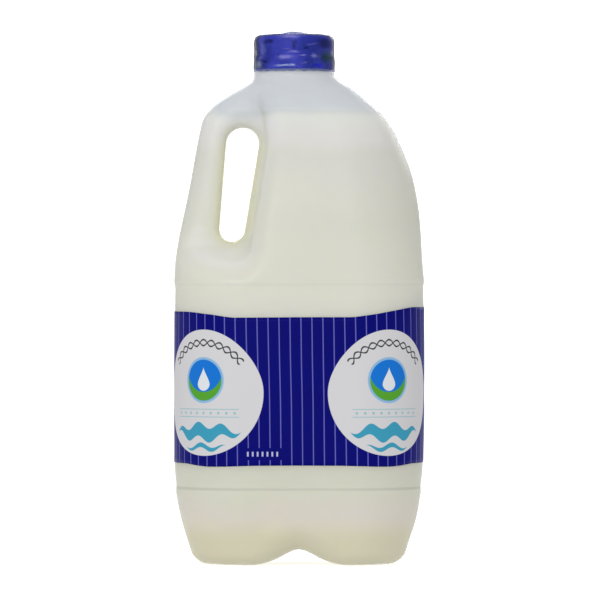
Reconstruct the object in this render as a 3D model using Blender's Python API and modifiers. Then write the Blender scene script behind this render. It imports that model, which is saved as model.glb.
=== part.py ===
"""A two-litre plastic milk jug: a blow-moulded bottle with a handle, its milk, sleeve, cap and seal.

The jug stands on z = 0 with its front towards -Y and its handle towards -X. The sizes below are in
millimetres and become metres when a mesh is made.
"""

import math

import bmesh
import bpy
import numpy as np

MM = 0.001

# Front view of the jug: how far its left and right sides stand from the middle, by height.
LEFT_SIDE = [
    (0, 52.0), (11, 55.5), (23, 59.0), (35, 61.3), (49, 62.6), (99, 62.7), (136, 62.4), (148, 61.9),
    (158, 60.7), (186, 55.0), (214, 49.8), (220.5, 48.2), (226.5, 44.1), (232.5, 35.9), (237.5, 27.1),
    (240.5, 23.1), (243.5, 22.2),
]
RIGHT_SIDE = [
    (0, 51.6), (11, 54.9), (23, 58.7), (35, 60.8), (49, 62.4), (99, 63.0), (136, 62.7), (148, 61.8),
    (172, 60.2), (190, 57.2), (205, 52.0), (220.5, 44.0), (232.5, 31.5), (237.5, 25.2), (240.5, 20.1),
    (243.5, 18.1),
]
# Side view: half the depth of the jug, by height.
HALF_DEPTH = [
    (0, 40.2), (11, 43.5), (23, 46.8), (35, 49.1), (49, 50.3), (99, 50.4), (148, 50.3), (172, 49.2),
    (190, 46.4), (205, 42.4), (220.5, 35.7), (232.5, 27.1), (238.5, 21.9), (243.5, 20.1),
]
# Radius of the four upright corners, by height.
CORNER_RADIUS = [
    (0, 27), (39, 33), (148, 33), (199, 31), (220.5, 27), (232.5, 23.5), (238.5, 21), (243.5, 20),
]
CROWN = 1.8
CROWN_START = 183.0
CROWN_END = 239.0
PANEL_DEPTH = 0.6
PANEL_BOTTOM = 36.1
PANEL_TOP = 140.1
PANEL_EDGE = 3.0

# Foot: flat pads on each side of a channel that runs from front to back.
FOOT_RADIUS = 6.0
CHANNEL_HEIGHT = 7.6
CHANNEL_SLOPE = math.radians(32)
CHANNEL_CROWN = 4.0
CHANNEL_RIM = 4.0
MOUTH_RISE = 11.0
MOUTH_REACH = 14.0

# Handle: a flat grip, the shelf under it, the slot through it and the wall of the chamber beside it.
GRIP_HALF = 12.5
GRIP_RADIUS = 10.0
SHELF_TOP = 159.6
SHELF_DROP = 13.0
FILLET = 7.0
SLOT_TOP = (-28.2, 208.9)
SLOT_TOP_RADIUS = 8.1
SLOT_BOTTOM = (-33.4, 166.5)
SLOT_BOTTOM_RADIUS = 6.3
SLOT_RIM = 7.0
CHAMBER_WALL = [
    (138.5, -25), (163.5, -23), (185.5, -19.5), (208.5, -16.5), (220.5, -17), (230.5, -21), (241.5, -36),
]

# Neck, under the cap.
NECK_X = -2.4
NECK_BASE = 243.1
COLLAR_RADIUS = 20.1
COLLAR_TOP = 244.9
NECK_STEP = 245.3
NECK_RADIUS = 17.8
NECK_TOP = 261.0

WALL = 0.8
GAP = 0.3
MILK_LEVEL = 224.6
MILK_RIM_MERGE = 1.5

# Sleeve: its top edge rises at the sides, most on the right, and its bottom edge dips at the corners.
SLEEVE_THICKNESS = 0.3
SLEEVE_TOP = 124.5
SLEEVE_TOP_WAVE = 2.0
SLEEVE_TOP_TILT = 1.1
SLEEVE_BOTTOM = 49.9
SLEEVE_BOTTOM_WAVE = 0.8
SLEEVE_COLUMNS = 60
SLEEVE_BANDS = 2

# Cap: a skirt with a soft top edge, then a groove, then the wider tamper band.
CAP_TOP = 262.7
CAP_SKIRT_BOTTOM = 255.2
CAP_GROOVE_TOP = 254.0
CAP_GROOVE_BOTTOM = 253.0
CAP_BAND_TOP = 252.2
CAP_BOTTOM = 245.8
CAP_RADIUS = 19.1
CAP_GROOVE_RADIUS = 18.8
CAP_BAND_RADIUS = 19.4
CAP_EDGE = 2.2
CAP_DISC = 1.3
CAP_BORE = 18.15
CAP_SIDES = 40

# Seal: it follows the cap's skirt and band, with a low bubble on top.
FILM_THICKNESS = 0.35
FILM_SHOULDER = 20.5
FILM_RADIUS = 20.95
FILM_EDGE = 2.5
FILM_TOP = 263.45
FILM_STEP_TOP = 254.0
FILM_STEP_BOTTOM = 251.8
FILM_BOTTOM = 245.3
FILM_DOME_RADIUS = 9.0
FILM_DOME_HEIGHT = 2.0
FILM_SIDES = 32

# Facets: the edges of the cells that carry one point of the surface each.
HANDLE_CELL = 5.8
HANDLE_CELL_ROWS = 3
BODY_CELL = 10.0
HANDLE_END = -14.0
FOOT_CELLS = [-3.5, 3.5, 8.5, 15, 23, 32]
PANEL_CELLS = [41.5, 57.5, 76.5, 96.5, 116.5, 133.5]
HANDLE_CELLS = [142.5, 149.5, 156.5, 163.5, 170.5, 178.5, 186.5, 194.5, 202.5, 210, 217, 223.5]
NECK_CELLS = [229.5, 235, 240, 244.5]
SETTLE_ROUNDS = 12
SURFACE_ROUNDS = 3
PROBE = 0.02
LEAST_SLOPE = 0.1
REST_SNAP = 0.02
OUTLINE_SAMPLES = 8
OUTLINE_ROUNDS = 30
SHARP_ANGLE = math.radians(40)


def curve_through(points):
    """A smooth function through the points that never overshoots between them."""
    at, value = np.array(points, float).T
    run = np.diff(at)
    rise = np.diff(value) / run
    same = rise[:-1] * rise[1:] > 0
    mean = np.zeros(len(rise) - 1)
    mean[same] = 2 * rise[:-1][same] * rise[1:][same] / (rise[:-1] + rise[1:])[same]
    slope = np.concatenate([[rise[0]], mean, [0.0]])

    def curve(position):
        place = np.clip(position, at[0], at[-1])
        cell = np.clip(np.searchsorted(at, place, side="right") - 1, 0, len(run) - 1)
        width = run[cell]
        t = (place - at[cell]) / width
        start = value[cell] * (1 + 2 * t) * (1 - t) ** 2 + value[cell + 1] * t * t * (3 - 2 * t)
        return start + width * t * (1 - t) * (slope[cell] * (1 - t) - slope[cell + 1] * t)

    return curve


left_side = curve_through(LEFT_SIDE)
right_side = curve_through(RIGHT_SIDE)
half_depth = curve_through(HALF_DEPTH)
corner_radius = curve_through(CORNER_RADIUS)
chamber_wall = curve_through(CHAMBER_WALL)


def smooth_step(value, start, end):
    t = np.clip((value - start) / (end - start), 0, 1)
    return t * t * (3 - 2 * t)


def round_max(first, second, radius):
    """Where two shapes overlap, with the edge between them rounded outwards."""
    inside = np.minimum(-radius, np.maximum(first, second))
    return inside + np.hypot(np.maximum(first + radius, 0), np.maximum(second + radius, 0))


def round_min(first, second, radius):
    """Two shapes joined, with a fillet in the corner between them."""
    return -round_max(-first, -second, radius)


def bottle(x, y, z):
    """Distance to the jug without its handle and foot: a rounded rectangle at each height."""
    left, right, depth, radius = left_side(z), right_side(z), half_depth(z), corner_radius(z)
    panel = smooth_step(z, PANEL_BOTTOM, PANEL_BOTTOM + PANEL_EDGE)
    panel = PANEL_DEPTH * panel * smooth_step(z, PANEL_TOP, PANEL_TOP - PANEL_EDGE)
    width = (left + right) / 2
    across = np.abs(x - (right - left) / 2)
    crown = CROWN * smooth_step(z, CROWN_END, CROWN_START)
    side = across + crown * (y / depth) ** 2 - width + panel
    front = np.abs(y) + crown * (across / width) ** 2 - depth + panel
    lean = (left_side(z + 1) + right_side(z + 1) - left_side(z - 1) - right_side(z - 1)) / 4
    return round_max(side, front, radius) / np.hypot(1, lean)


def slot(x, z):
    """Distance to the outline of the slot in the front view."""
    run_x, run_z = SLOT_BOTTOM[0] - SLOT_TOP[0], SLOT_BOTTOM[1] - SLOT_TOP[1]
    along = (x - SLOT_TOP[0]) * run_x + (z - SLOT_TOP[1]) * run_z
    along = np.clip(along / (run_x**2 + run_z**2), 0, 1)
    off = np.hypot(x - SLOT_TOP[0] - along * run_x, z - SLOT_TOP[1] - along * run_z)
    return off - SLOT_TOP_RADIUS - along * (SLOT_BOTTOM_RADIUS - SLOT_TOP_RADIUS)


def beside_chamber(x, y, z):
    """Distance to what is left of the jug beside the handle: the chamber, the grip and the shelf."""
    lean = (chamber_wall(z + 1) - chamber_wall(z - 1)) / 2
    chamber = (chamber_wall(z) - x) / np.hypot(1, lean)
    reach = half_depth(SHELF_TOP) - GRIP_HALF
    fall = SHELF_DROP * (np.abs(y) - GRIP_HALF) / reach
    shelf = (z - SHELF_TOP + fall) / math.hypot(1, SHELF_DROP / reach)
    grip = round_min(np.abs(y) - GRIP_HALF, shelf, FILLET)
    return round_min(chamber, grip, FILLET)


def channel(x, y, z):
    """Distance to the channel under the jug, which opens out at its two mouths."""
    mouth = half_depth(MOUTH_RISE)
    rise = MOUTH_RISE * smooth_step(np.abs(y), mouth - MOUTH_REACH, mouth + MOUTH_REACH)
    spread = np.hypot(x, CHANNEL_CROWN) - CHANNEL_CROWN
    return (z - CHANNEL_HEIGHT - rise + math.tan(CHANNEL_SLOPE) * spread) * math.cos(CHANNEL_SLOPE)


def jug(x, y, z):
    """Signed distance to the outside of the jug, nearly true close to the surface."""
    shape = round_max(bottle(x, y, z), beside_chamber(x, y, z), GRIP_RADIUS)
    shape = round_max(shape, -slot(x, z), SLOT_RIM)
    foot = round_max(-z, -channel(x, y, z), CHANNEL_RIM)
    return round_max(shape, foot, FOOT_RADIUS)


def net_surface(shape, edges):
    """A mesh of quads on the zero surface of a function, with one point in each cell it crosses.

    The surface is left open where it runs out of the grid.
    """
    grid = np.stack(np.meshgrid(*edges, indexing="ij"), axis=-1)
    value = shape(grid[..., 0], grid[..., 1], grid[..., 2])
    cells = np.array(value.shape) - 1
    total = np.zeros((cells.prod(), 3))
    count = np.zeros(cells.prod())
    faces = []
    for axis in range(3):
        one, two = (axis + 1) % 3, (axis + 2) % 3
        ahead = np.eye(3, dtype=int)[axis]
        starts = np.argwhere(np.diff(value < 0, axis=axis))
        beside = starts[:, [one, two]]
        starts = starts[((beside > 0) & (beside < cells[[one, two]])).all(axis=1)]
        low = value[tuple(starts.T)]
        high = value[tuple((starts + ahead).T)]
        share = (low / (low - high))[:, None]
        near = grid[tuple(starts.T)]
        cross = near + share * (grid[tuple((starts + ahead).T)] - near)
        around = []
        for back_one, back_two in ((0, 0), (1, 0), (1, 1), (0, 1)):
            cell = starts.copy()
            cell[:, one] -= back_one
            cell[:, two] -= back_two
            number = np.ravel_multi_index(cell.T, cells)
            np.add.at(total, number, cross)
            np.add.at(count, number, 1)
            around.append(number)
        quads = np.stack(around, axis=1)
        faces.append(np.where((low < 0)[:, None], quads, quads[:, ::-1]))
    used, renumbered = np.unique(np.concatenate(faces), return_inverse=True)
    return total[used] / count[used, None], renumbered.reshape(-1, 4)


def onto_surface(shape, points):
    """Moves points straight onto the zero surface of the shape."""
    for _ in range(SURFACE_ROUNDS):
        slope = np.empty_like(points)
        for axis in range(3):
            step = np.zeros(3)
            step[axis] = PROBE
            slope[:, axis] = (shape(*(points + step).T) - shape(*(points - step).T)) / (2 * PROBE)
        steepness = np.maximum((slope**2).sum(axis=1), LEAST_SLOPE)
        points = points - (shape(*points.T) / steepness)[:, None] * slope
    return points


def settled(shape, points, quads):
    """Evens out the quads while their points stay on the surface."""
    ends = np.concatenate([quads[:, [0, 1]], quads[:, [1, 2]], quads[:, [2, 3]], quads[:, [3, 0]]])
    ends = np.unique(np.sort(ends, axis=1), axis=0)
    degree = np.bincount(ends.ravel(), minlength=len(points))[:, None]
    points = onto_surface(shape, points)
    for _ in range(SETTLE_ROUNDS):
        pull = np.zeros_like(points)
        np.add.at(pull, ends[:, 0], points[ends[:, 1]])
        np.add.at(pull, ends[:, 1], points[ends[:, 0]])
        points = onto_surface(shape, (points + pull / degree) / 2)
    return points


def steps_past(start, end, width):
    """Cell edges of one width from the start until they are past the end."""
    count = math.ceil(abs(end - start) / width) + 1
    return start + math.copysign(width, end - start) * np.arange(count)


def jug_skin():
    """The open outer surface of the jug, up to the rim of its neck, as a bmesh in millimetres."""
    past_handle = steps_past(HANDLE_END, -left_side(PANEL_TOP) - 1, HANDLE_CELL)
    past_body = steps_past(HANDLE_END, right_side(PANEL_TOP) + 1, BODY_CELL)
    across = np.concatenate([past_handle[:0:-1], past_body])
    near = (np.arange(HANDLE_CELL_ROWS) + 0.5) * HANDLE_CELL
    far = steps_past(near[-1], half_depth(PANEL_TOP) + 1, BODY_CELL)
    deep = np.concatenate([-far[:0:-1], -near[::-1], near, far[1:]])
    up = np.array(FOOT_CELLS + PANEL_CELLS + HANDLE_CELLS + NECK_CELLS, float)
    points, quads = net_surface(jug, (across, deep, up))
    points = settled(jug, points, quads)
    points[np.abs(points[:, 2]) < REST_SNAP, 2] = 0
    skin = bmesh.new()
    corners = [skin.verts.new(point) for point in points]
    for quad in quads:
        skin.faces.new([corners[index] for index in quad])
    raise_neck(skin)
    bmesh.ops.triangulate(skin, faces=skin.faces)
    skin.normal_update()
    return skin


def raise_neck(skin):
    """Draws the open edge of the surface into a collar and a plain neck above it."""
    rim = [edge for edge in skin.edges if edge.is_boundary]
    place_ring(rim, COLLAR_RADIUS, NECK_BASE)
    for radius, height in ((COLLAR_RADIUS, COLLAR_TOP), (NECK_RADIUS, NECK_STEP), (NECK_RADIUS, NECK_TOP)):
        grown = bmesh.ops.extrude_edge_only(skin, edges=rim)["geom"]
        rim = [item for item in grown if isinstance(item, bmesh.types.BMEdge) and item.is_boundary]
        place_ring(rim, radius, height)


def place_ring(rim, radius, height):
    for vert in {vert for edge in rim for vert in edge.verts}:
        angle = math.atan2(vert.co.y, vert.co.x - NECK_X)
        vert.co = (NECK_X + radius * math.cos(angle), radius * math.sin(angle), height)


def add_object(shape, name, material, collection):
    """Turns a bmesh in millimetres into a named object in metres."""
    for vert in shape.verts:
        vert.co *= MM
    mesh = bpy.data.meshes.new(name)
    shape.to_mesh(mesh)
    shape.free()
    mesh.materials.append(material)
    mesh.shade_smooth()
    mesh.set_sharp_from_angle(angle=SHARP_ANGLE)
    obj = bpy.data.objects.new(name, mesh)
    collection.objects.link(obj)
    return obj


def add_solidify(obj, thickness):
    """Thickens an open surface inwards."""
    solidify = obj.modifiers.new("Wall", "SOLIDIFY")
    solidify.thickness = thickness * MM
    solidify.offset = -1


def make_body(skin, collection):
    """The blow-moulded jug: one thin wall, open at the neck."""
    plastic = make_material("jug_plastic", (0.72, 0.73, 0.68), 0.4)
    body = add_object(skin.copy(), "jug_body", plastic, collection)
    add_solidify(body, WALL)


def make_milk(skin, collection):
    """The milk fills the jug and its hollow handle up to a level surface."""
    milk = skin.copy()
    milk.normal_update()
    moved = [vert.co - vert.normal * (WALL + GAP) for vert in milk.verts]
    for vert, place in zip(milk.verts, moved):
        vert.co = place
    everything = milk.verts[:] + milk.edges[:] + milk.faces[:]
    cut = bmesh.ops.bisect_plane(
        milk, geom=everything, plane_co=(0, 0, MILK_LEVEL), plane_no=(0, 0, 1), clear_outer=True
    )["geom_cut"]
    rim = [item for item in cut if isinstance(item, bmesh.types.BMVert)]
    bmesh.ops.remove_doubles(milk, verts=rim, dist=MILK_RIM_MERGE)
    open_edges = [edge for edge in milk.edges if edge.is_boundary]
    bmesh.ops.contextual_create(milk, geom=open_edges)
    bmesh.ops.recalc_face_normals(milk, faces=milk.faces)
    cream = make_material("milk", (0.86, 0.85, 0.78), 0.3)
    add_object(milk, "milk", cream, collection)


def outline_at(height, count, clearance):
    """Evenly spaced points round the upright wall of the jug, clear of it, at one height."""
    turn = np.linspace(0, 2 * math.pi, OUTLINE_SAMPLES * count, endpoint=False) - math.pi / 2
    middle = np.array([(right_side(height) - left_side(height)) / 2, 0])
    outward = np.stack([np.cos(turn), np.sin(turn)], axis=1)
    points = middle + right_side(height) * outward
    for _ in range(OUTLINE_ROUNDS):
        off = bottle(points[:, 0], points[:, 1], np.full(len(points), height)) - clearance
        points = points - off[:, None] * outward
    closed = np.concatenate([points, points[:1]])
    length = np.concatenate([[0], np.cumsum(np.hypot(*np.diff(closed, axis=0).T))])
    spots = np.linspace(0, length[-1], count, endpoint=False)
    return np.stack([np.interp(spots, length, closed[:, 0]), np.interp(spots, length, closed[:, 1])], axis=1)


def make_sleeve(collection):
    """A thin printed film round the panel, with wavy edges."""
    skin = bmesh.new()
    clearance = GAP + SLEEVE_THICKNESS
    middle = (SLEEVE_BOTTOM + SLEEVE_TOP) / 2
    ring = outline_at(middle, SLEEVE_COLUMNS, clearance)
    turn = np.arange(SLEEVE_COLUMNS) * 2 * math.pi / SLEEVE_COLUMNS
    bottom = SLEEVE_BOTTOM + SLEEVE_BOTTOM_WAVE * np.cos(4 * turn)
    top = SLEEVE_TOP - SLEEVE_TOP_WAVE * np.cos(2 * turn) + SLEEVE_TOP_TILT * np.sin(turn)
    rows = []
    for band in range(SLEEVE_BANDS + 1):
        height = bottom + (top - bottom) * band / SLEEVE_BANDS
        rows.append([skin.verts.new((x, y, z)) for (x, y), z in zip(ring, height)])
    for lower, upper in zip(rows, rows[1:]):
        for index in range(SLEEVE_COLUMNS):
            after = (index + 1) % SLEEVE_COLUMNS
            skin.faces.new((lower[index], lower[after], upper[after], upper[index]))
    print_ink = make_material("sleeve_print", (0.02, 0.03, 0.22), 0.35)
    sleeve = add_object(skin, "label_sleeve", print_ink, collection)
    add_solidify(sleeve, SLEEVE_THICKNESS)


def add_turned(name, profile, sides, material, collection):
    """Turns a profile of (radius, height) points round the axis of the neck."""
    shape = bmesh.new()
    verts = [shape.verts.new((radius, 0, height)) for radius, height in profile]
    for first, second in zip(verts, verts[1:]):
        shape.edges.new((first, second))
    obj = add_object(shape, name, material, collection)
    obj.location.x = NECK_X * MM
    screw = obj.modifiers.new("Turn", "SCREW")
    screw.axis = "Z"
    screw.steps = sides
    screw.render_steps = sides
    screw.use_merge_vertices = True
    screw.merge_threshold = 0.00005
    return obj


def soft_edge(radius, top, edge, sides):
    """Points of a profile that rounds the edge from a flat top down to an upright side."""
    angles = np.linspace(math.pi / 2, 0, sides + 1)
    return [(radius - edge + edge * math.cos(angle), top - edge + edge * math.sin(angle)) for angle in angles]


def make_cap(collection):
    """A screw cap: a disc with a soft edge, a skirt, a groove and the wider tamper band below it."""
    profile = [
        (0, CAP_TOP),
        *soft_edge(CAP_RADIUS, CAP_TOP, CAP_EDGE, 3),
        (CAP_RADIUS, CAP_SKIRT_BOTTOM),
        (CAP_GROOVE_RADIUS, CAP_GROOVE_TOP),
        (CAP_GROOVE_RADIUS, CAP_GROOVE_BOTTOM),
        (CAP_BAND_RADIUS, CAP_BAND_TOP),
        (CAP_BAND_RADIUS, CAP_BOTTOM),
        (CAP_BORE, CAP_BOTTOM),
        (CAP_BORE, CAP_TOP - CAP_DISC),
        (0, CAP_TOP - CAP_DISC),
    ]
    blue = make_material("cap_plastic", (0.03, 0.04, 0.32), 0.3)
    add_turned("cap", profile, CAP_SIDES, blue, collection)


def make_film(collection):
    """A clear seal shrunk over the cap, with a low bubble on top."""
    dome = [(FILM_DOME_RADIUS * share, FILM_TOP + FILM_DOME_HEIGHT * (1 - share**2)) for share in (0, 0.5, 1)]
    profile = [
        *dome,
        *soft_edge(FILM_SHOULDER, FILM_TOP, FILM_EDGE, 2),
        (FILM_SHOULDER, FILM_STEP_TOP),
        (FILM_RADIUS, FILM_STEP_BOTTOM),
        (FILM_RADIUS, FILM_BOTTOM),
    ]
    clear = make_material("seal_film", (0.8, 0.82, 0.8), 0.15)
    film = add_turned("cap_film", profile, FILM_SIDES, clear, collection)
    add_solidify(film, FILM_THICKNESS)


def make_material(name, colour, roughness):
    material = bpy.data.materials.new(name)
    material.use_nodes = True
    shader = material.node_tree.nodes["Principled BSDF"]
    shader.inputs["Base Color"].default_value = (*colour, 1)
    shader.inputs["Roughness"].default_value = roughness
    shader.inputs["Metallic"].default_value = 0.0
    return material


def clear_scene():
    for obj in list(bpy.data.objects):
        bpy.data.objects.remove(obj, do_unlink=True)


def main():
    clear_scene()
    collection = bpy.data.collections.new("milk_jug")
    bpy.context.scene.collection.children.link(collection)
    skin = jug_skin()
    make_body(skin, collection)
    make_milk(skin, collection)
    skin.free()
    make_sleeve(collection)
    make_cap(collection)
    make_film(collection)


main()
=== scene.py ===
"""The looks of a two-litre plastic milk jug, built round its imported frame.

Sizes are in millimetres, in the frame's own axes, and become metres when a mesh is made. The jug stands
on z = 0 with its front towards -Y and its handle towards -X.
"""

import math

import bmesh
import bpy
import numpy as np
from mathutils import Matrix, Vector, noise


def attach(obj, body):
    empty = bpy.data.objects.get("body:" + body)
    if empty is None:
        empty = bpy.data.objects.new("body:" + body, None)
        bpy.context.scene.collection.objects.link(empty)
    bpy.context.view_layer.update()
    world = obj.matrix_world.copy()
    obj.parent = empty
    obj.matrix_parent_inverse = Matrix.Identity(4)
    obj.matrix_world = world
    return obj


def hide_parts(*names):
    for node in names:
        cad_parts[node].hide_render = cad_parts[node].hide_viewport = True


MM = 0.001

# Front view of the jug: how far its left and right sides stand from the middle, by height.
LEFT_SIDE = [
    (0, 52.0), (11, 55.5), (23, 59.0), (35, 61.3), (49, 62.6), (99, 62.7), (136, 62.4), (148, 61.9),
    (158, 60.7), (186, 55.0), (214, 49.8), (220.5, 48.2), (226.5, 44.1), (232.5, 35.9), (237.5, 27.1),
    (240.5, 23.1), (243.5, 22.2),
]
RIGHT_SIDE = [
    (0, 51.6), (11, 54.9), (23, 58.7), (35, 60.8), (49, 62.4), (99, 63.0), (136, 62.7), (148, 61.8),
    (172, 60.2), (190, 57.2), (205, 52.0), (220.5, 44.0), (232.5, 31.5), (237.5, 25.2), (240.5, 20.1),
    (243.5, 18.1),
]
# Side view: half the depth of the jug, by height.
HALF_DEPTH = [
    (0, 40.2), (11, 43.5), (23, 46.8), (35, 49.1), (49, 50.3), (99, 50.4), (148, 50.3), (172, 49.2),
    (190, 46.4), (205, 42.4), (220.5, 35.7), (232.5, 27.1), (238.5, 21.9), (243.5, 20.1),
]
# Radius of the four upright corners, by height.
CORNER_RADIUS = [
    (0, 27), (39, 33), (148, 33), (199, 31), (220.5, 27), (232.5, 23.5), (238.5, 21), (243.5, 20),
]
CROWN = 1.8
CROWN_START = 183.0
CROWN_END = 239.0
PANEL_DEPTH = 0.6
PANEL_BOTTOM = 36.1
PANEL_TOP = 140.1
PANEL_EDGE = 3.0

# Foot: flat pads on each side of a channel that runs from front to back.
FOOT_RADIUS = 6.0
CHANNEL_HEIGHT = 7.6
CHANNEL_SLOPE = math.radians(32)
CHANNEL_CROWN = 4.0
CHANNEL_RIM = 4.0
MOUTH_RISE = 11.0
MOUTH_REACH = 14.0

# Handle: a flat grip, the shelf under it, the slot through it and the wall of the chamber beside it.
GRIP_HALF = 12.5
GRIP_RADIUS = 10.0
SHELF_TOP = 159.6
SHELF_DROP = 13.0
FILLET = 7.0
SLOT_TOP = (-28.2, 208.9)
SLOT_TOP_RADIUS = 8.1
SLOT_BOTTOM = (-33.4, 166.5)
SLOT_BOTTOM_RADIUS = 6.3
SLOT_RIM = 7.0
CHAMBER_WALL = [
    (138.5, -25), (163.5, -23), (185.5, -19.5), (208.5, -16.5), (220.5, -17), (230.5, -21), (241.5, -36),
]

# Neck: (radius, height) up from the shoulder, through the collar to the rim inside the cap.
NECK_X = -2.4
NECK_BASE = 243.1
NECK_PROFILE = [
    (20.1, 243.1), (20.2, 243.8), (20.1, 244.5), (19.5, 245.0), (18.2, 245.3), (17.8, 245.8),
    (17.8, 250.6), (17.8, 255.6), (17.8, 260.2), (17.5, 260.7), (17.2, 261.0),
]
WALL = 0.8

# Marks for the wall's material: a warm tint with painted light at the slot's rim, painted light in the
# corners beside the handle, and painted shade in the channel under the foot. For each, how far it fades away,
# and the heights or depths where it starts and ends.
HOLLOW_FADE = 2.5
HOLLOW_START = (150, 158)
HOLLOW_END = (218, 204)
RECESS_FADE = 6.0
RECESS_DEPTH = (0.5, 9)
RECESS_END = (242, 232)
ARCH_FADE = 5
ARCH_END = (26, 12)

# Painted shade lines at the steps of the panel, as (height, strength), and how much lower the grey of the
# empty top reaches above the slot.
STEP_SHADE_LINES = [(38.0, 0.8), (138.6, 0.14)]
HANDLE_GREY = 6.0

# Milk: it ends about half way through the wall, so that no gap shows between them.
MILK_SINK = 0.35
MILK_LEVEL = 224.6
MILK_SHARP_EDGE = math.radians(60)

# Sleeve: the height of its edges by the way round from the middle of the front, alike on the back. The top
# edge rises at the corners, most on the right, and the bottom edge dips just before them. Its outline at the
# middle height is found by closing in on the wall from an ellipse around it.
SLEEVE_GAP = 0.03
SLEEVE_THICKNESS = 0.1
SLEEVE_MIDDLE = 87.2
SLEEVE_AROUND = (70, 60)
SLEEVE_ROUNDS = 30
SLEEVE_FINER = 8
SLEEVE_TOP_RIGHT = [(0, 122.5), (24, 122.5), (34, 123.5), (50, 126.0), (62, 127.4), (99, 127.6)]
SLEEVE_TOP_LEFT = [(0, 122.5), (31, 122.3), (45, 123.9), (62, 125.2), (99, 125.4)]
SLEEVE_BOTTOM = [(0, 49.8), (20, 49.7), (45, 49.1), (52, 49.5), (62, 50.4), (99, 50.7)]
SLEEVE_COLUMNS = 300
SLEEVE_ROWS = 40
SLEEVE_LIFT = 0.03
SLEEVE_PUCKER = 0.08
PUCKER_FADE = 8
UV_HEIGHT = 100.0

# Glued overlap of the sleeve at the middle of the back.
OVERLAP = 4.5
OVERLAP_EDGE = 1.2
OVERLAP_RISE = 0.16

# Cap: (radius, height) down its dished top from the middle, its rounded edge, then down the outside over the
# groove and the tamper band, and up the inside to the underside of its top.
CAP_TOP = 262.7
CAP_DISH = [(0, -0.25), (6, -0.25), (12, -0.2), (15, -0.05), (16, 0)]
CAP_RADIUS = 19.1
CAP_EDGE = 2.2
CAP_SIDES = [
    (19.1, 259.1), (19.1, 256.0), (19.05, 255.6), (18.8, 255.2), (18.75, 253.8), (18.8, 253.2),
    (19.3, 252.7), (19.4, 252.4), (19.4, 249.6), (19.4, 246.8), (19.35, 246.2), (19.1, 245.85),
    (18.6, 245.8), (18.2, 245.9), (18.15, 246.4), (18.15, 260.6), (17.8, 261.4), (8, 261.4), (0, 261.4),
]
CAP_FACETS = 128

# Seal: the clear film over the cap, with a bubble on top, level folds and a ragged lower edge. It is wider
# over the tamper band. FILM_RIM is (radius, height above its top) from the bubble to the rounded edge.
FILM_TOP = 263.2
FILM_BUBBLE = 9.0
FILM_BUBBLE_FOOT = 0.1
FILM_BUBBLE_RISE = 2.0
FILM_RIM = [(10.2, 0.05), (12, 0.1), (14, 0.05), (16, 0)]
FILM_EDGE = 3.0
FILM_EDGE_DROP = 2.9
FILM_RADIUS = 20.1
FILM_FIRST_ROW = 3.6
FILM_ROW = 0.7
FILM_BAND = 252.8
FILM_BAND_REACH = 1.5
FILM_BAND_RISE = 0.3
FILM_BOTTOM = 244.9
FILM_FLARE = 0.1
# Heights over which the painted light at the film's lower edge comes in.
FILM_HEM_LIGHT = (246.3, 245.5)
FILM_THICKNESS = 0.12
FILM_FACETS = 180

# Relief of the seal: the pitch and swing of its level folds, how far its pleats and creases stand out and in,
# how far down from the top it is full, and how far up the ragged edge reaches and strays out and up.
FILM_FOLD = 5.6
FILM_FOLD_SWING = 0.13
FILM_PLEAT = 0.18
FILM_CREASE = 0.18
FILM_FADE = 3
FILM_RAGGED = 247.6
FILM_RAGGED_OUT = 0.45
FILM_RAGGED_UP = 0.8

# Marks on the seal's folds: how far round from the front, height, half width, half height and shade. Later
# ones lie over earlier ones. Pale and bright marks are painted highlights, haze is painted light on the lit
# left side, dark marks are painted shade in the folds, and green, blue, grey and mist marks only set a colour
# there.
FOLDS = [
    (-18.0, 256.5, 3.2, 6.0, "haze"), (-2.0, 261.8, 6.8, 1.1, "pale"), (0.0, 254.1, 3.4, 0.8, "pale"),
    (-4.4, 251.6, 4.6, 1.3, "pale"), (10.6, 252.2, 3.0, 1.1, "pale"), (4.2, 252.2, 2.0, 0.5, "pale"),
    (-5.4, 247.4, 5.8, 0.7, "bright"), (-0.6, 247.7, 1.6, 0.7, "bright"), (-14.0, 259.6, 3.4, 1.3, "dark"),
    (0.2, 257.8, 1.3, 2.8, "dark"), (6.4, 256.2, 1.6, 1.0, "dark"), (18.5, 258.8, 7.5, 3.2, "dark"),
    (-16.5, 249.9, 2.4, 0.9, "dark"), (20.0, 251.8, 8.5, 3.6, "green"), (-27.0, 253.0, 5.0, 8.0, "grey"),
    (13.0, 247.6, 3.4, 0.9, "blue"), (-21.5, 248.0, 3.6, 2.6, "mist"),
]
# How dense a fold is, and the sRGB colour of each shade, painted highlights and painted shade among them.
FOLD_DENSITY = 0.42
FOLD_LIGHT_AND_TONES = {
    "pale": (158, 156, 240), "bright": (196, 212, 255), "dark": (18, 24, 92), "green": (36, 76, 36),
    "blue": (30, 30, 220), "grey": (66, 80, 98), "haze": (112, 120, 214), "mist": (150, 160, 182),
}

# Print: two round fields face the front and two the back, this far round from the middle of each. They are
# narrower at the top by this share.
FIELD_FROM_MIDDLE = 46.75
FIELD_SHIFT = 1.75
FIELD_HEIGHT = 85.4
FIELD_RADIUS = 31.0
FIELD_NARROWER = 0.09

# Braid: the middle and radius of the arc it follows, half its length, and the period, swing and half
# thickness of its two strands.
BRAID_HEIGHT = 84.4
BRAID_RADIUS = 25.6
BRAID_REACH = 23.4
BRAID_PERIOD = 9.0
BRAID_SWING = 1.5
BRAID_STRAND = 0.42

# Badge: its middle, the radii of its rim and its inside, the circle that cuts the crescent out, and the drop.
BADGE_HEIGHT = 91.6
BADGE_RIM = 11.3
BADGE_INSIDE = 10.1
BADGE_EDGE = 0.2
CRESCENT_RISE = 4.6
CRESCENT_RADIUS = 10.4
DROP_MIDDLE = -1.6
DROP_SPAN = (-1.0, 9.0)
DROP_WIDTH = 3.8
DROP_EDGE = 0.12

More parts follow.
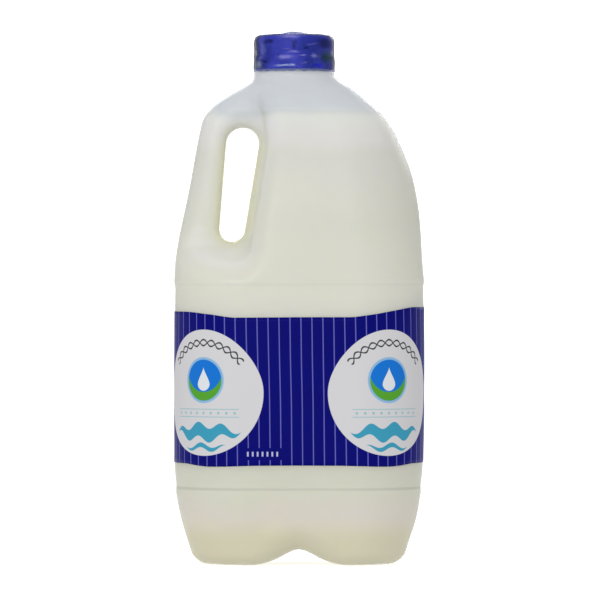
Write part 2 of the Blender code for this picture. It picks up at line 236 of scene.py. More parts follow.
# Rules: their middle, half their length, half the gap and half a line's thickness, then the dots between.
RULE_HEIGHT = 75.4
RULE_REACH = 18.9
RULE_GAP = 1.9
RULE_LINE = 0.2
DOT_PITCH = 4.2
DOT_EDGE = (0.85, 0.55)

# Waves: the height, half thickness, half length, period, swing and phase of each.
WAVES = [(66.0, 3.5, 20.0, 13.3, 1.7, 0.0), (58.6, 1.2, 12.0, 13.3, 1.2, 0.7)]

# Stripes: their pitch, how far they lean and waver, and how far from its middle a line starts and is full.
STRIPE_PITCH = 5.32
STRIPE_SHIFT = 0.7
STRIPE_LEAN = 0.014
STRIPE_WAVE = 1.2
STRIPE_EDGE = (0.38, 0.14)

# Ticks: the middle of the row, half the size of the bare patch and of the row, the pitch and half a width.
TICKS_FROM_FRONT = -18.0
TICKS_HEIGHT = 55.4
TICKS_PATCH = (10.2, 3.0)
TICKS_ROW = (8.4, 1.15)
TICK_PITCH = 2.4
TICK_HALF = 0.42

# Fine surfaces: the spacing of the cells that carry one point of the surface each, the rounds that settle
# the points, the step that measures a slope, and how near the ground a point has to be to lie on it.
FINE_CELL = 2.0
SURFACE_ROUNDS = 3
SETTLE_ROUNDS = 3
LEAST_SLOPE = 0.1
PROBE = 0.02
GROUND_SNAP = 0.05

# Camera: the picture is 300 mm wide at the jug, seen level from 2.5 m away. From here on sizes are in metres,
# apart from the sensor's.
CAMERA_DISTANCE = 2.5
CAMERA_X = 0.0005
CAMERA_HEIGHT = 0.13095
SENSOR = 36
FIELD_WIDTH = 0.3

# Light: its strength from all round, each soft source as place, (width, height) and power, and their aim.
AMBIENT = 0.60
SOFT_LIGHTS = {
    "key": ((-0.45, -1.76, 0.8), (1.6, 0.5), 10.6),
    "behind": ((0.5, 1.85, 0.8), (1.6, 0.5), 6.0),
    "overhead": ((-0.1, 0.2, 1.6), (1.0, 1.0), 1.5),
}
LIGHT_AIM = (0, 0, 0.13)

# Stage: the two rings of the floor, the bend of the backdrop that rises from its edge, and the floor's glow.
FLOOR_INNER = 1.0
FLOOR_RADIUS = 4.0
BACKDROP_BEND = 0.8
BACKDROP_HEIGHT = 4.0
STAGE_SIDES = 64
FLOOR_GLOW = 0.58


def curve_through(points):
    """A smooth function through the points that never overshoots between them."""
    at, value = np.array(points, float).T
    run = np.diff(at)
    rise = np.diff(value) / run
    same = rise[:-1] * rise[1:] > 0
    mean = np.zeros(len(rise) - 1)
    mean[same] = 2 * rise[:-1][same] * rise[1:][same] / (rise[:-1] + rise[1:])[same]
    slope = np.concatenate([[rise[0]], mean, [0.0]])

    def curve(position):
        place = np.clip(position, at[0], at[-1])
        cell = np.clip(np.searchsorted(at, place, side="right") - 1, 0, len(run) - 1)
        width = run[cell]
        t = (place - at[cell]) / width
        start = value[cell] * (1 + 2 * t) * (1 - t) ** 2 + value[cell + 1] * t * t * (3 - 2 * t)
        return start + width * t * (1 - t) * (slope[cell] * (1 - t) - slope[cell + 1] * t)

    return curve


left_side = curve_through(LEFT_SIDE)
right_side = curve_through(RIGHT_SIDE)
half_depth = curve_through(HALF_DEPTH)
corner_radius = curve_through(CORNER_RADIUS)
chamber_wall = curve_through(CHAMBER_WALL)


def smooth_step(value, start, end):
    t = np.clip((value - start) / (end - start), 0, 1)
    return t * t * (3 - 2 * t)


def round_max(first, second, radius):
    """Where two shapes overlap, with the edge between them rounded outwards."""
    inside = np.minimum(-radius, np.maximum(first, second))
    return inside + np.hypot(np.maximum(first + radius, 0), np.maximum(second + radius, 0))


def round_min(first, second, radius):
    """Two shapes joined, with a fillet in the corner between them."""
    return -round_max(-first, -second, radius)


def bottle(x, y, z):
    """Distance to the jug without its handle and foot: a rounded rectangle at each height."""
    left, right, depth, radius = left_side(z), right_side(z), half_depth(z), corner_radius(z)
    panel = smooth_step(z, PANEL_BOTTOM, PANEL_BOTTOM + PANEL_EDGE)
    panel = PANEL_DEPTH * panel * smooth_step(z, PANEL_TOP, PANEL_TOP - PANEL_EDGE)
    width = (left + right) / 2
    across = np.abs(x - (right - left) / 2)
    crown = CROWN * smooth_step(z, CROWN_END, CROWN_START)
    side = across + crown * (y / depth) ** 2 - width + panel
    front = np.abs(y) + crown * (across / width) ** 2 - depth + panel
    lean = (left_side(z + 1) + right_side(z + 1) - left_side(z - 1) - right_side(z - 1)) / 4
    return round_max(side, front, radius) / np.hypot(1, lean)


def slot(x, z):
    """Distance to the outline of the slot in the front view."""
    run_x, run_z = SLOT_BOTTOM[0] - SLOT_TOP[0], SLOT_BOTTOM[1] - SLOT_TOP[1]
    along = (x - SLOT_TOP[0]) * run_x + (z - SLOT_TOP[1]) * run_z
    along = np.clip(along / (run_x**2 + run_z**2), 0, 1)
    off = np.hypot(x - SLOT_TOP[0] - along * run_x, z - SLOT_TOP[1] - along * run_z)
    return off - SLOT_TOP_RADIUS - along * (SLOT_BOTTOM_RADIUS - SLOT_TOP_RADIUS)


def left_of_chamber(x, z):
    """Distance to the left of the chamber's wall beside the handle."""
    lean = (chamber_wall(z + 1) - chamber_wall(z - 1)) / 2
    return (chamber_wall(z) - x) / np.hypot(1, lean)


def above_shelf(y, z):
    """Distance above the shelf under the handle, which falls away to the front and the back."""
    reach = half_depth(SHELF_TOP) - GRIP_HALF
    fall = SHELF_DROP * (np.abs(y) - GRIP_HALF) / reach
    return (z - SHELF_TOP + fall) / math.hypot(1, SHELF_DROP / reach)


def beside_chamber(x, y, z):
    """Distance to what is left of the jug beside the handle: the chamber, the grip and the shelf."""
    grip = round_min(np.abs(y) - GRIP_HALF, above_shelf(y, z), FILLET)
    return round_min(left_of_chamber(x, z), grip, FILLET)


def channel(x, y, z):
    """Distance to the channel under the jug, which opens out at its two mouths."""
    mouth = half_depth(MOUTH_RISE)
    rise = MOUTH_RISE * smooth_step(np.abs(y), mouth - MOUTH_REACH, mouth + MOUTH_REACH)
    spread = np.hypot(x, CHANNEL_CROWN) - CHANNEL_CROWN
    return (z - CHANNEL_HEIGHT - rise + math.tan(CHANNEL_SLOPE) * spread) * math.cos(CHANNEL_SLOPE)


def jug(x, y, z):
    """Signed distance to the outside of the jug, nearly true close to the surface."""
    shape = round_max(bottle(x, y, z), beside_chamber(x, y, z), GRIP_RADIUS)
    shape = round_max(shape, -slot(x, z), SLOT_RIM)
    foot = round_max(-z, -channel(x, y, z), CHANNEL_RIM)
    return round_max(shape, foot, FOOT_RADIUS)


def net_surface(shape, edges):
    """A mesh of quads on the zero surface of a function, with one point in each cell it crosses.

    The surface is left open where it runs out of the grid.
    """
    grid = np.stack(np.meshgrid(*edges, indexing="ij"), axis=-1)
    value = shape(grid[..., 0], grid[..., 1], grid[..., 2])
    cells = np.array(value.shape) - 1
    total = np.zeros((cells.prod(), 3))
    count = np.zeros(cells.prod())
    faces = []
    for axis in range(3):
        one, two = (axis + 1) % 3, (axis + 2) % 3
        ahead = np.eye(3, dtype=int)[axis]
        starts = np.argwhere(np.diff(value < 0, axis=axis))
        beside = starts[:, [one, two]]
        starts = starts[((beside > 0) & (beside < cells[[one, two]])).all(axis=1)]
        low = value[tuple(starts.T)]
        high = value[tuple((starts + ahead).T)]
        share = (low / (low - high))[:, None]
        near = grid[tuple(starts.T)]
        cross = near + share * (grid[tuple((starts + ahead).T)] - near)
        around = []
        for back_one, back_two in ((0, 0), (1, 0), (1, 1), (0, 1)):
            cell = starts.copy()
            cell[:, one] -= back_one
            cell[:, two] -= back_two
            number = np.ravel_multi_index(cell.T, cells)
            np.add.at(total, number, cross)
            np.add.at(count, number, 1)
            around.append(number)
        quads = np.stack(around, axis=1)
        faces.append(np.where((low < 0)[:, None], quads, quads[:, ::-1]))
    used, renumbered = np.unique(np.concatenate(faces), return_inverse=True)
    return total[used] / count[used, None], renumbered.reshape(-1, 4)


def slope_of(shape, points):
    """How the shape's distance changes along each axis at the points."""
    slope = np.empty_like(points)
    for axis in range(3):
        step = np.zeros(3)
        step[axis] = PROBE
        slope[:, axis] = (shape(*(points + step).T) - shape(*(points - step).T)) / (2 * PROBE)
    return slope


def onto_surface(shape, points):
    """Moves points straight onto the zero surface of the shape."""
    for _ in range(SURFACE_ROUNDS):
        slope = slope_of(shape, points)
        steepness = np.maximum((slope**2).sum(axis=1), LEAST_SLOPE)
        points = points - (shape(*points.T) / steepness)[:, None] * slope
    return points


def settled(shape, points, quads):
    """Evens out the quads while their points stay on the surface."""
    ends = np.concatenate([quads[:, [0, 1]], quads[:, [1, 2]], quads[:, [2, 3]], quads[:, [3, 0]]])
    ends = np.unique(np.sort(ends, axis=1), axis=0)
    degree = np.bincount(ends.ravel(), minlength=len(points))[:, None]
    points = onto_surface(shape, points)
    for _ in range(SETTLE_ROUNDS):
        pull = np.zeros_like(points)
        np.add.at(pull, ends[:, 0], points[ends[:, 1]])
        np.add.at(pull, ends[:, 1], points[ends[:, 0]])
        points = onto_surface(shape, (points + pull / degree) / 2)
    return points


def even_edges(low, high):
    """Cell edges across a span, in pairs about its middle."""
    count = 2 * math.ceil((high - low) / FINE_CELL / 2) + 3
    return (low + high) / 2 + (np.arange(count + 1) - count / 2) * FINE_CELL


def jug_skin():
    """The open outer surface of the jug up to its neck: points in millimetres and quads."""
    across = even_edges(-max(side for _, side in LEFT_SIDE), max(side for _, side in RIGHT_SIDE))
    depth = max(half for _, half in HALF_DEPTH)
    deep = even_edges(-depth, depth)
    up = np.arange(-FINE_CELL / 2, NECK_BASE + FINE_CELL / 2, FINE_CELL)
    points, quads = net_surface(jug, (across, deep, up))
    points = settled(jug, points, quads)
    points[np.abs(points[:, 2]) < GROUND_SNAP, 2] = 0
    return points, quads


def place_ring(rim, radius, height):
    """Moves the points of an open edge onto a level circle round the neck's axis."""
    for vert in {vert for edge in rim for vert in edge.verts}:
        angle = math.atan2(vert.co.y, vert.co.x - NECK_X)
        vert.co = (NECK_X + radius * math.cos(angle), radius * math.sin(angle), height)


def raise_neck(skin):
    """Draws the open edge of the surface up through the collar and the plain neck."""
    rim = [edge for edge in skin.edges if edge.is_boundary]
    place_ring(rim, *NECK_PROFILE[0])
    for radius, height in NECK_PROFILE[1:]:
        grown = bmesh.ops.extrude_edge_only(skin, edges=rim)["geom"]
        rim = [item for item in grown if isinstance(item, bmesh.types.BMEdge) and item.is_boundary]
        place_ring(rim, radius, height)


def as_bmesh(points, quads):
    """A bmesh of the points and quads."""
    shape = bmesh.new()
    corners = [shape.verts.new(point) for point in points]
    for quad in quads:
        shape.faces.new([corners[index] for index in quad])
    shape.normal_update()
    return shape


def add_piece(shape, name, material, node):
    """Turns a bmesh in millimetres into a smooth piece that stands for a node of the frame."""
    for vert in shape.verts:
        vert.co *= MM
    mesh = bpy.data.meshes.new(name)
    shape.to_mesh(mesh)
    shape.free()
    mesh.materials.append(material)
    mesh.shade_smooth()
    piece = bpy.data.objects.new(name, mesh)
    bpy.context.scene.collection.objects.link(piece)
    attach(piece, "root")
    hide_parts(node)
    return piece


def add_solidify(piece, thickness):
    """Thickens an open surface inwards."""
    solidify = piece.modifiers.new("Wall", "SOLIDIFY")
    solidify.thickness = thickness * MM
    solidify.offset = -1


def add_values(piece, name, values):
    """Keeps one number a point on the mesh, for the material to read."""
    attribute = piece.data.attributes.new(name, "FLOAT", "POINT")
    attribute.data.foreach_set("value", np.asarray(values, np.float32))


def make_shell(points, quads):
    """The blow-moulded jug: one thin cloudy wall, open at the neck inside the cap."""
    skin = as_bmesh(points, quads)
    raise_neck(skin)
    place = np.array([vert.co for vert in skin.verts])
    shell = add_piece(skin, "jug_shell", jug_plastic(), "jug_body")
    # Weights for the material: the warm tint and painted light at the slot's rim, the painted shade in the
    # channel under the foot, and the painted light in the corners beside the handle.
    add_values(shell, "hollow", hollow_at(place[:, 0], place[:, 2]))
    add_values(shell, "arch_shade", arch_shade_at(*place.T))
    add_values(shell, "recess_light", recess_light_at(*place.T))
    add_solidify(shell, WALL)


def hollow_at(x, z):
    """1 at the slot through the handle, except its top, falling to 0 away from it: the weight of the rim's
    warm tint with its painted light, and of a more see-through wall.
    """
    near = np.exp(-np.maximum(slot(x, z), 0) / HOLLOW_FADE)
    return near * smooth_step(z, *HOLLOW_START) * smooth_step(z, *HOLLOW_END)


def recess_light_at(x, y, z):
    """Weight of the painted light: 1 in the corners beside the handle and at its slot, where less light
    comes, falling to 0 elsewhere.
    """
    deep = smooth_step(-bottle(x, y, z), *RECESS_DEPTH)
    corner = np.minimum(np.abs(left_of_chamber(x, z)), np.abs(above_shelf(y, z)))
    near = np.minimum(corner, np.maximum(slot(x, z), 0))
    return deep * np.exp(-near / RECESS_FADE) * smooth_step(z, *RECESS_END)


def arch_shade_at(x, y, z):
    """Weight of the painted shade: 1 at the channel under the jug, falling to 0 away from it."""
    return np.exp(-np.maximum(-channel(x, y, z), 0) / ARCH_FADE) * smooth_step(z, *ARCH_END)


def make_milk(points, quads):
    """The milk: it reaches into the wall all round and ends at a level surface."""
    slope = slope_of(jug, points)
    inward = points - MILK_SINK * slope / np.linalg.norm(slope, axis=1)[:, None]
    milk = as_bmesh(inward, quads)
    everything = milk.verts[:] + milk.edges[:] + milk.faces[:]
    bmesh.ops.bisect_plane(
        milk, geom=everything, plane_co=(0, 0, MILK_LEVEL), plane_no=(0, 0, 1), clear_outer=True
    )
    open_edges = [edge for edge in milk.edges if edge.is_boundary]
    bmesh.ops.contextual_create(milk, geom=open_edges)
    bmesh.ops.recalc_face_normals(milk, faces=milk.faces)
    piece = add_piece(milk, "milk_fill", milk_liquid(), "milk")
    piece.data.set_sharp_from_angle(angle=MILK_SHARP_EDGE)
    place = np.array([vert.co for vert in piece.data.vertices]) / MM
    # Weight of the painted light that whitens the milk in the corners beside the handle.
    add_values(piece, "recess_light", recess_light_at(*place.T))


def outline_at(height, count, clearance):
    """Evenly spaced points round the upright wall, clear of it at one height, and the way round in mm."""
    turn = np.linspace(0, 2 * math.pi, SLEEVE_FINER * count, endpoint=False) - math.pi / 2
    middle = (right_side(height) - left_side(height)) / 2
    points = np.stack([SLEEVE_AROUND[0] * np.cos(turn), SLEEVE_AROUND[1] * np.sin(turn)], axis=1)
    points = points + [middle, 0]
    for _ in range(SLEEVE_ROUNDS):
        reach = np.hypot(points[:, 0] - middle, points[:, 1])
        off = bottle(points[:, 0], points[:, 1], np.full(len(points), height)) - clearance
        points = points - (points - [middle, 0]) / reach[:, None] * off[:, None]
    closed = np.concatenate([points, points[:1]])
    length = np.concatenate([[0], np.cumsum(np.hypot(*np.diff(closed, axis=0).T))])
    spots = np.linspace(0, length[-1], count, endpoint=False)
    ring = np.stack([np.interp(spots, length, closed[:, 0]), np.interp(spots, length, closed[:, 1])], axis=1)
    return ring, length[-1]


def make_sleeve():
    """The printed film round the panel, with wavy edges that pucker a little where it shrank."""
    clearance = SLEEVE_GAP + SLEEVE_THICKNESS
    ring, around = outline_at(SLEEVE_MIDDLE, SLEEVE_COLUMNS, clearance)
    turn = np.arange(SLEEVE_COLUMNS) * 2 * math.pi / SLEEVE_COLUMNS
    quarter = around / 4
    from_middle = quarter - np.abs(turn / (2 * math.pi) * around % (2 * quarter) - quarter)
    bottom = curve_through(SLEEVE_BOTTOM)(from_middle)
    on_right = curve_through(SLEEVE_TOP_RIGHT)(from_middle)
    top = np.where(np.sin(turn) > 0, on_right, curve_through(SLEEVE_TOP_LEFT)(from_middle))
    ahead = np.roll(ring, -1, axis=0) - np.roll(ring, 1, axis=0)
    outward = np.stack([ahead[:, 1], -ahead[:, 0]], axis=1) / np.hypot(*ahead.T)[:, None]
    from_back = turn / (2 * math.pi) * around - around / 2
    overlap = smooth_step(from_back, 0, OVERLAP_EDGE)
    overlap = overlap * smooth_step(from_back, OVERLAP + OVERLAP_EDGE, OVERLAP)
    skin = bmesh.new()
    rows = []
    for row in range(SLEEVE_ROWS + 1):
        share = row / SLEEVE_ROWS
        pucker = SLEEVE_PUCKER * math.exp(-PUCKER_FADE * min(share, 1 - share))
        heights = bottom + (top - bottom) * share
        wall = ring
        for _ in range(SURFACE_ROUNDS):
            off = bottle(wall[:, 0], wall[:, 1], heights) - clearance
            wall = wall - outward * off[:, None]
        verts = []
        for column, z in enumerate(heights):
            ripple = noise.noise(Vector((turn[column] * 9, z * 0.05, 3.7)))
            fine = noise.noise(Vector((turn[column] * 40, z * 0.12, 9.1)))
            lift = SLEEVE_LIFT * (1 + ripple) + pucker * (0.5 + fine) + OVERLAP_RISE * overlap[column]
            x, y = wall[column] + outward[column] * lift
            verts.append(skin.verts.new((x, y, z)))
        rows.append(verts)
    layer = skin.loops.layers.uv.new("UVMap")
    for lower, upper in zip(rows, rows[1:]):
        for column in range(SLEEVE_COLUMNS):
            after = (column + 1) % SLEEVE_COLUMNS
            face = skin.faces.new((lower[column], lower[after], upper[after], upper[column]))
            for loop, step in zip(face.loops, (0, 1, 1, 0)):
                place = (column + step) / SLEEVE_COLUMNS
                loop[layer].uv = (place, loop.vert.co.z / UV_HEIGHT)
    piece = add_piece(skin, "sleeve", sleeve_print(around), "label_sleeve")
    add_solidify(piece, SLEEVE_THICKNESS)


def turned(profile, sides, wobble=None):
    """A bmesh that turns (radius, height) points round the neck's axis, closed where they meet it."""
    shape = bmesh.new()
    rings = []
    for radius, height in profile:
        if radius == 0:
            rings.append([shape.verts.new((NECK_X, 0, height))])
            continue
        ring = []
        for side in range(sides):
            angle = 2 * math.pi * side / sides
            out, up = wobble(angle, radius, height) if wobble else (0, 0)
            reach = radius + out
            place = (NECK_X + reach * math.cos(angle), reach * math.sin(angle), height + up)
            ring.append(shape.verts.new(place))
        rings.append(ring)
    for upper, lower in zip(rings, rings[1:]):
        for side in range(sides):
            after = (side + 1) % sides
            corners = [upper[side % len(upper)], lower[side % len(lower)]]
            corners += [lower[after % len(lower)], upper[after % len(upper)]]
            shape.faces.new(list(dict.fromkeys(corners)))
    shape.normal_update()
    return shape


def arc(centre, radius, start, end, steps):
    """Points on an arc in the (radius, height) plane, with angles in degrees from the outward direction."""
    angles = np.radians(np.linspace(start, end, steps))
    return [(centre[0] + radius * math.cos(a), centre[1] + radius * math.sin(a)) for a in angles]


def make_cap():
    """The screw cap: a disc with a soft edge, a skirt, a groove and the wider tamper band below it."""
    profile = [(radius, CAP_TOP + rise) for radius, rise in CAP_DISH]
    profile += arc((CAP_RADIUS - CAP_EDGE, CAP_TOP - CAP_EDGE), CAP_EDGE, 90, 0, 9)
    cap = add_piece(turned(profile + CAP_SIDES, CAP_FACETS), "cap_blue", cap_plastic(), "cap")


def film_wobble(angle, radius, height):
    """Crinkles of the shrunk film, out and up: level folds, pleats, creases and a ragged lower edge."""
    x, y = math.cos(angle), math.sin(angle)
    skirt = min(max((FILM_TOP - height) / FILM_FADE, 0), 1)
    low = min(max((FILM_RAGGED - height) / FILM_FADE, 0), 1)
    drift = noise.noise(Vector((x * 1.6, y * 1.6, 6.2)))
    fold = math.sin(2 * math.pi * (height / FILM_FOLD + 0.55 * drift))
    fold *= 0.6 + 0.8 * noise.noise(Vector((x * 2.2, y * 2.2, height * 0.11)))
    pleat = noise.noise(Vector((x * 4.5, y * 4.5, height * 0.16)))
    crease = abs(noise.noise(Vector((x * 9, y * 9, height * 0.5 + 5))))
    out = skirt * (FILM_FOLD_SWING * fold + FILM_PLEAT * pleat - FILM_CREASE * crease)
    out += low * FILM_RAGGED_OUT * noise.noise(Vector((x * 7, y * 7, 2)))
    up = low * FILM_RAGGED_UP * noise.noise(Vector((x * 6, y * 6, 8)))
    flat = smooth_step(radius, FILM_BUBBLE - 1, FILM_BUBBLE + 2)
    up += (1 - skirt) * (0.03 + 0.1 * flat) * noise.noise(Vector((x * radius * 0.3, y * radius * 0.3, 4)))
    return out, up


def make_film():
    """The clear seal shrunk over the cap, with a low bubble on top."""
    foot = FILM_TOP + FILM_BUBBLE_FOOT
    out = np.linspace(0, 1, 8)
    profile = [(FILM_BUBBLE * s, foot + FILM_BUBBLE_RISE * (1 - s * s) ** 0.85) for s in out]
    profile += [(radius, FILM_TOP + rise) for radius, rise in FILM_RIM]
    profile += arc((FILM_RADIUS - FILM_EDGE, FILM_TOP - FILM_EDGE_DROP), FILM_EDGE, 85, 5, 9)
    for z in np.arange(FILM_TOP - FILM_FIRST_ROW, FILM_BOTTOM, -FILM_ROW):
        wide = smooth_step(z, FILM_BAND + FILM_BAND_REACH, FILM_BAND - FILM_BAND_REACH)
        profile.append((FILM_RADIUS + FILM_BAND_RISE * wide, z))
    profile.append((FILM_RADIUS + FILM_FLARE, FILM_BOTTOM))
    film = add_piece(turned(profile, FILM_FACETS, film_wobble), "seal", seal_film(), "cap_film")
    add_solidify(film, FILM_THICKNESS)


class Graph:
    """A material's nodes, added and wired in one call each."""

    def __init__(self, name):
        self.material = bpy.data.materials.new(name)
        self.material.use_nodes = True
        self.tree = self.material.node_tree
        self.shader = self.tree.nodes["Principled BSDF"]

    def put(self, socket, value):
        """Links a socket to another, or sets its number or colour."""
        if isinstance(value, bpy.types.NodeSocket):
            self.tree.links.new(value, socket)
        else:
            socket.default_value = value

    def node(self, kind, output=0, settings=(), **inputs):
        """An output of a new node, whose inputs are given by name, with _ for a space."""
        made = self.tree.nodes.new(kind)
        for name, value in settings:
            setattr(made, name, value)
        for name, value in inputs.items():
            self.put(made.inputs[name.replace("_", " ")], value)
        return made.outputs[output]

    def math(self, operation, first, second=0.0, third=0.0):
        made = self.tree.nodes.new("ShaderNodeMath")
        made.operation = operation
        for socket, value in zip(made.inputs, (first, second, third)):
            self.put(socket, value)
        return made.outputs[0]

    def plus(self, first, second):
        return self.math("ADD", first, second)

    def less(self, first, second):
        return self.math("SUBTRACT", first, second)

    def times(self, first, second):
        return self.math("MULTIPLY", first, second)

    def ramp(self, value, start, end):
        """0 at the start and 1 at the end, smooth in between."""
        smooth = [("interpolation_type", "SMOOTHSTEP")]
        return self.node("ShaderNodeMapRange", settings=smooth, Value=value, From_Min=start, From_Max=end)

    def mix(self, factor, first, second):
        """A mix of two colours, whose sockets are the node's inputs 6 and 7 and its output 2."""
        made = self.tree.nodes.new("ShaderNodeMix")
        made.data_type = "RGBA"
        self.put(made.inputs[0], factor)
        self.put(made.inputs[6], first)
        self.put(made.inputs[7], second)
        return made.outputs[2]

    def noise(self, scale, detail, vector):
        return self.node("ShaderNodeTexNoise", Scale=scale, Detail=detail, Vector=vector)

    def place(self):
        """Where a point is in the object's own axes, in metres."""
        return self.node("ShaderNodeTexCoord", output=3)

    def part(self, vector, index):
        """One of a vector's three numbers."""
        return self.node("ShaderNodeSeparateXYZ", output=index, Vector=vector)

    def colours(self, value, stops):
        """A smooth run of colours between the values of its stops, which rise."""
        low, high = stops[0][0], stops[-1][0]
        share = self.node("ShaderNodeMapRange", Value=value, From_Min=low, From_Max=high)
        made = self.tree.nodes.new("ShaderNodeValToRGB")
        made.color_ramp.interpolation = "EASE"
        while len(made.color_ramp.elements) < len(stops):
            made.color_ramp.elements.new(0.5)
        for element, (place, colour) in zip(made.color_ramp.elements, stops):
            element.position = (place - low) / (high - low)
            element.color = colour
        self.tree.links.new(share, made.inputs[0])
        return made.outputs[0]

    def attribute(self, name):
        """A number that the mesh keeps for each point."""
        return self.node("ShaderNodeAttribute", output=2, settings=[("attribute_name", name)])

    def bump(self, height, strength, distance):
        normal = self.node("ShaderNodeBump", Height=height, Strength=strength, Distance=distance)
        self.put(self.shader.inputs["Normal"], normal)

    def finish(self, **inputs):
        """Sets the shader's own sockets and gives the material."""
        for name, value in inputs.items():
            self.put(self.shader.inputs[name.replace("_", " ")], value)
        return self.material


def rgb(red, green, blue):
    """An sRGB colour, 0 to 255, as the linear colour that shaders take."""
    def linear(value):
        share = value / 255
        return share / 12.92 if share <= 0.04045 else ((share + 0.055) / 1.055) ** 2.4

    return (linear(red), linear(green), linear(blue), 1)


def jug_plastic():
    """Cloudy polyethylene: grey where the jug is empty, milk white below, warmer towards the foot, with
    painted light and shade.
    """
    graph = Graph("jug_plastic")
    place = graph.place()
    height = graph.part(place, 2)
    cloud = graph.ramp(graph.noise(24, 3, place), 0.3, 0.7)
    wavy = graph.math("MULTIPLY_ADD", cloud, 0.003, height)
    beside = graph.math("ABSOLUTE", graph.less(graph.part(place, 0), SLOT_TOP[0] * MM))
    wavy = graph.math("MULTIPLY_ADD", graph.ramp(beside, 0.016, 0.004), HANDLE_GREY * MM, wavy)
    # Below the milk's level the white dips darker low on the jug, above the foot: painted shade where less
    # light falls.
    body = graph.colours(wavy, [
        (0.003, rgb(255, 244, 230)), (0.016, rgb(255, 244, 231)), (0.028, rgb(242, 234, 222)),
        (0.041, rgb(234, 235, 214)), (0.134, rgb(244, 244, 230)), (0.152, rgb(239, 239, 226)),
        (0.176, rgb(232, 232, 220)), (0.203, rgb(231, 231, 225)), (0.213, rgb(243, 241, 243)),
        (0.2235, rgb(248, 250, 247)), (0.2295, rgb(228, 234, 240)), (0.244, rgb(232, 237, 243)),
    ])
    clouded = graph.mix(graph.times(cloud, 0.05), body, rgb(255, 255, 250))
    # Painted shade: thin darker lines at the panel's steps.
    for level, strength in STEP_SHADE_LINES:
        off = graph.math("ABSOLUTE", graph.less(height, level * MM))
        line = graph.times(graph.ramp(off, 0.0011, 0.0003), strength)
        clouded = graph.mix(line, clouded, rgb(206, 206, 190))
    # Painted light: the wall is whitened in the corners beside the handle and at its slot, where the handle
    # shades it.
    recess_light = graph.times(graph.attribute("recess_light"), graph.ramp(height, 0.230, 0.218))
    bright = graph.mix(graph.times(recess_light, 0.95), clouded, rgb(255, 255, 248))
    # At the slot's rim: the plastic's own yellow tint, also made lighter as painted light against the rim's
    # shade.
    hollow = graph.attribute("hollow")
    warm = graph.mix(graph.times(hollow, 0.9), bright, rgb(255, 254, 192))
    # Painted shade: darker and warmer in the channel under the foot, where little light reaches.
    colour = graph.mix(graph.times(graph.attribute("arch_shade"), 0.8), warm, rgb(230, 224, 178))
    grain = graph.noise(900, 2, place)
    swell = graph.noise(55, 2, place)
    relief = graph.math("MULTIPLY_ADD", grain, 0.05, swell)
    parting = graph.ramp(graph.math("ABSOLUTE", graph.part(place, 1)), 0.0006, 0.0001)
    relief = graph.math("MULTIPLY_ADD", parting, 0.25, relief)
    graph.bump(relief, 0.3, 0.0006)
    rough = graph.math("MULTIPLY_ADD", cloud, 0.08, 0.34)
    thin = graph.math("MULTIPLY_ADD", hollow, -0.15, 0.5)
    return graph.finish(Base_Color=colour, Roughness=rough, IOR=1.5, Alpha=thin)


def milk_liquid():
    """Whole milk against the wall: white, a little warm, with a faint skin of cream, and whiter beside the
    handle as painted light.
    """
    graph = Graph("milk_liquid")
    cloud = graph.ramp(graph.noise(18, 2, graph.place()), 0.25, 0.75)
    colour = graph.mix(cloud, rgb(246, 245, 234), rgb(250, 249, 241))
    # Painted light: the milk is whitened in the same corners.
    colour = graph.mix(graph.times(graph.attribute("recess_light"), 0.9), colour, rgb(255, 255, 252))
    return graph.finish(
        Base_Color=colour, Roughness=0.35, Subsurface_Weight=1.0, Subsurface_Radius=(1.0, 0.9, 0.7),
        Subsurface_Scale=0.022
    )


def cap_plastic():
    """Deep blue polyethylene with a fine grain and a little flow mottling."""
    graph = Graph("cap_plastic")
    place = graph.place()
    mottle = graph.ramp(graph.noise(90, 3, place), 0.35, 0.65)
    colour = graph.mix(mottle, rgb(48, 61, 183), rgb(75, 83, 223))
    graph.bump(graph.noise(500, 2, place), 0.2, 0.0002)
    return graph.finish(Base_Color=colour, Roughness=0.38, IOR=1.5, Specular_IOR_Level=0.15)


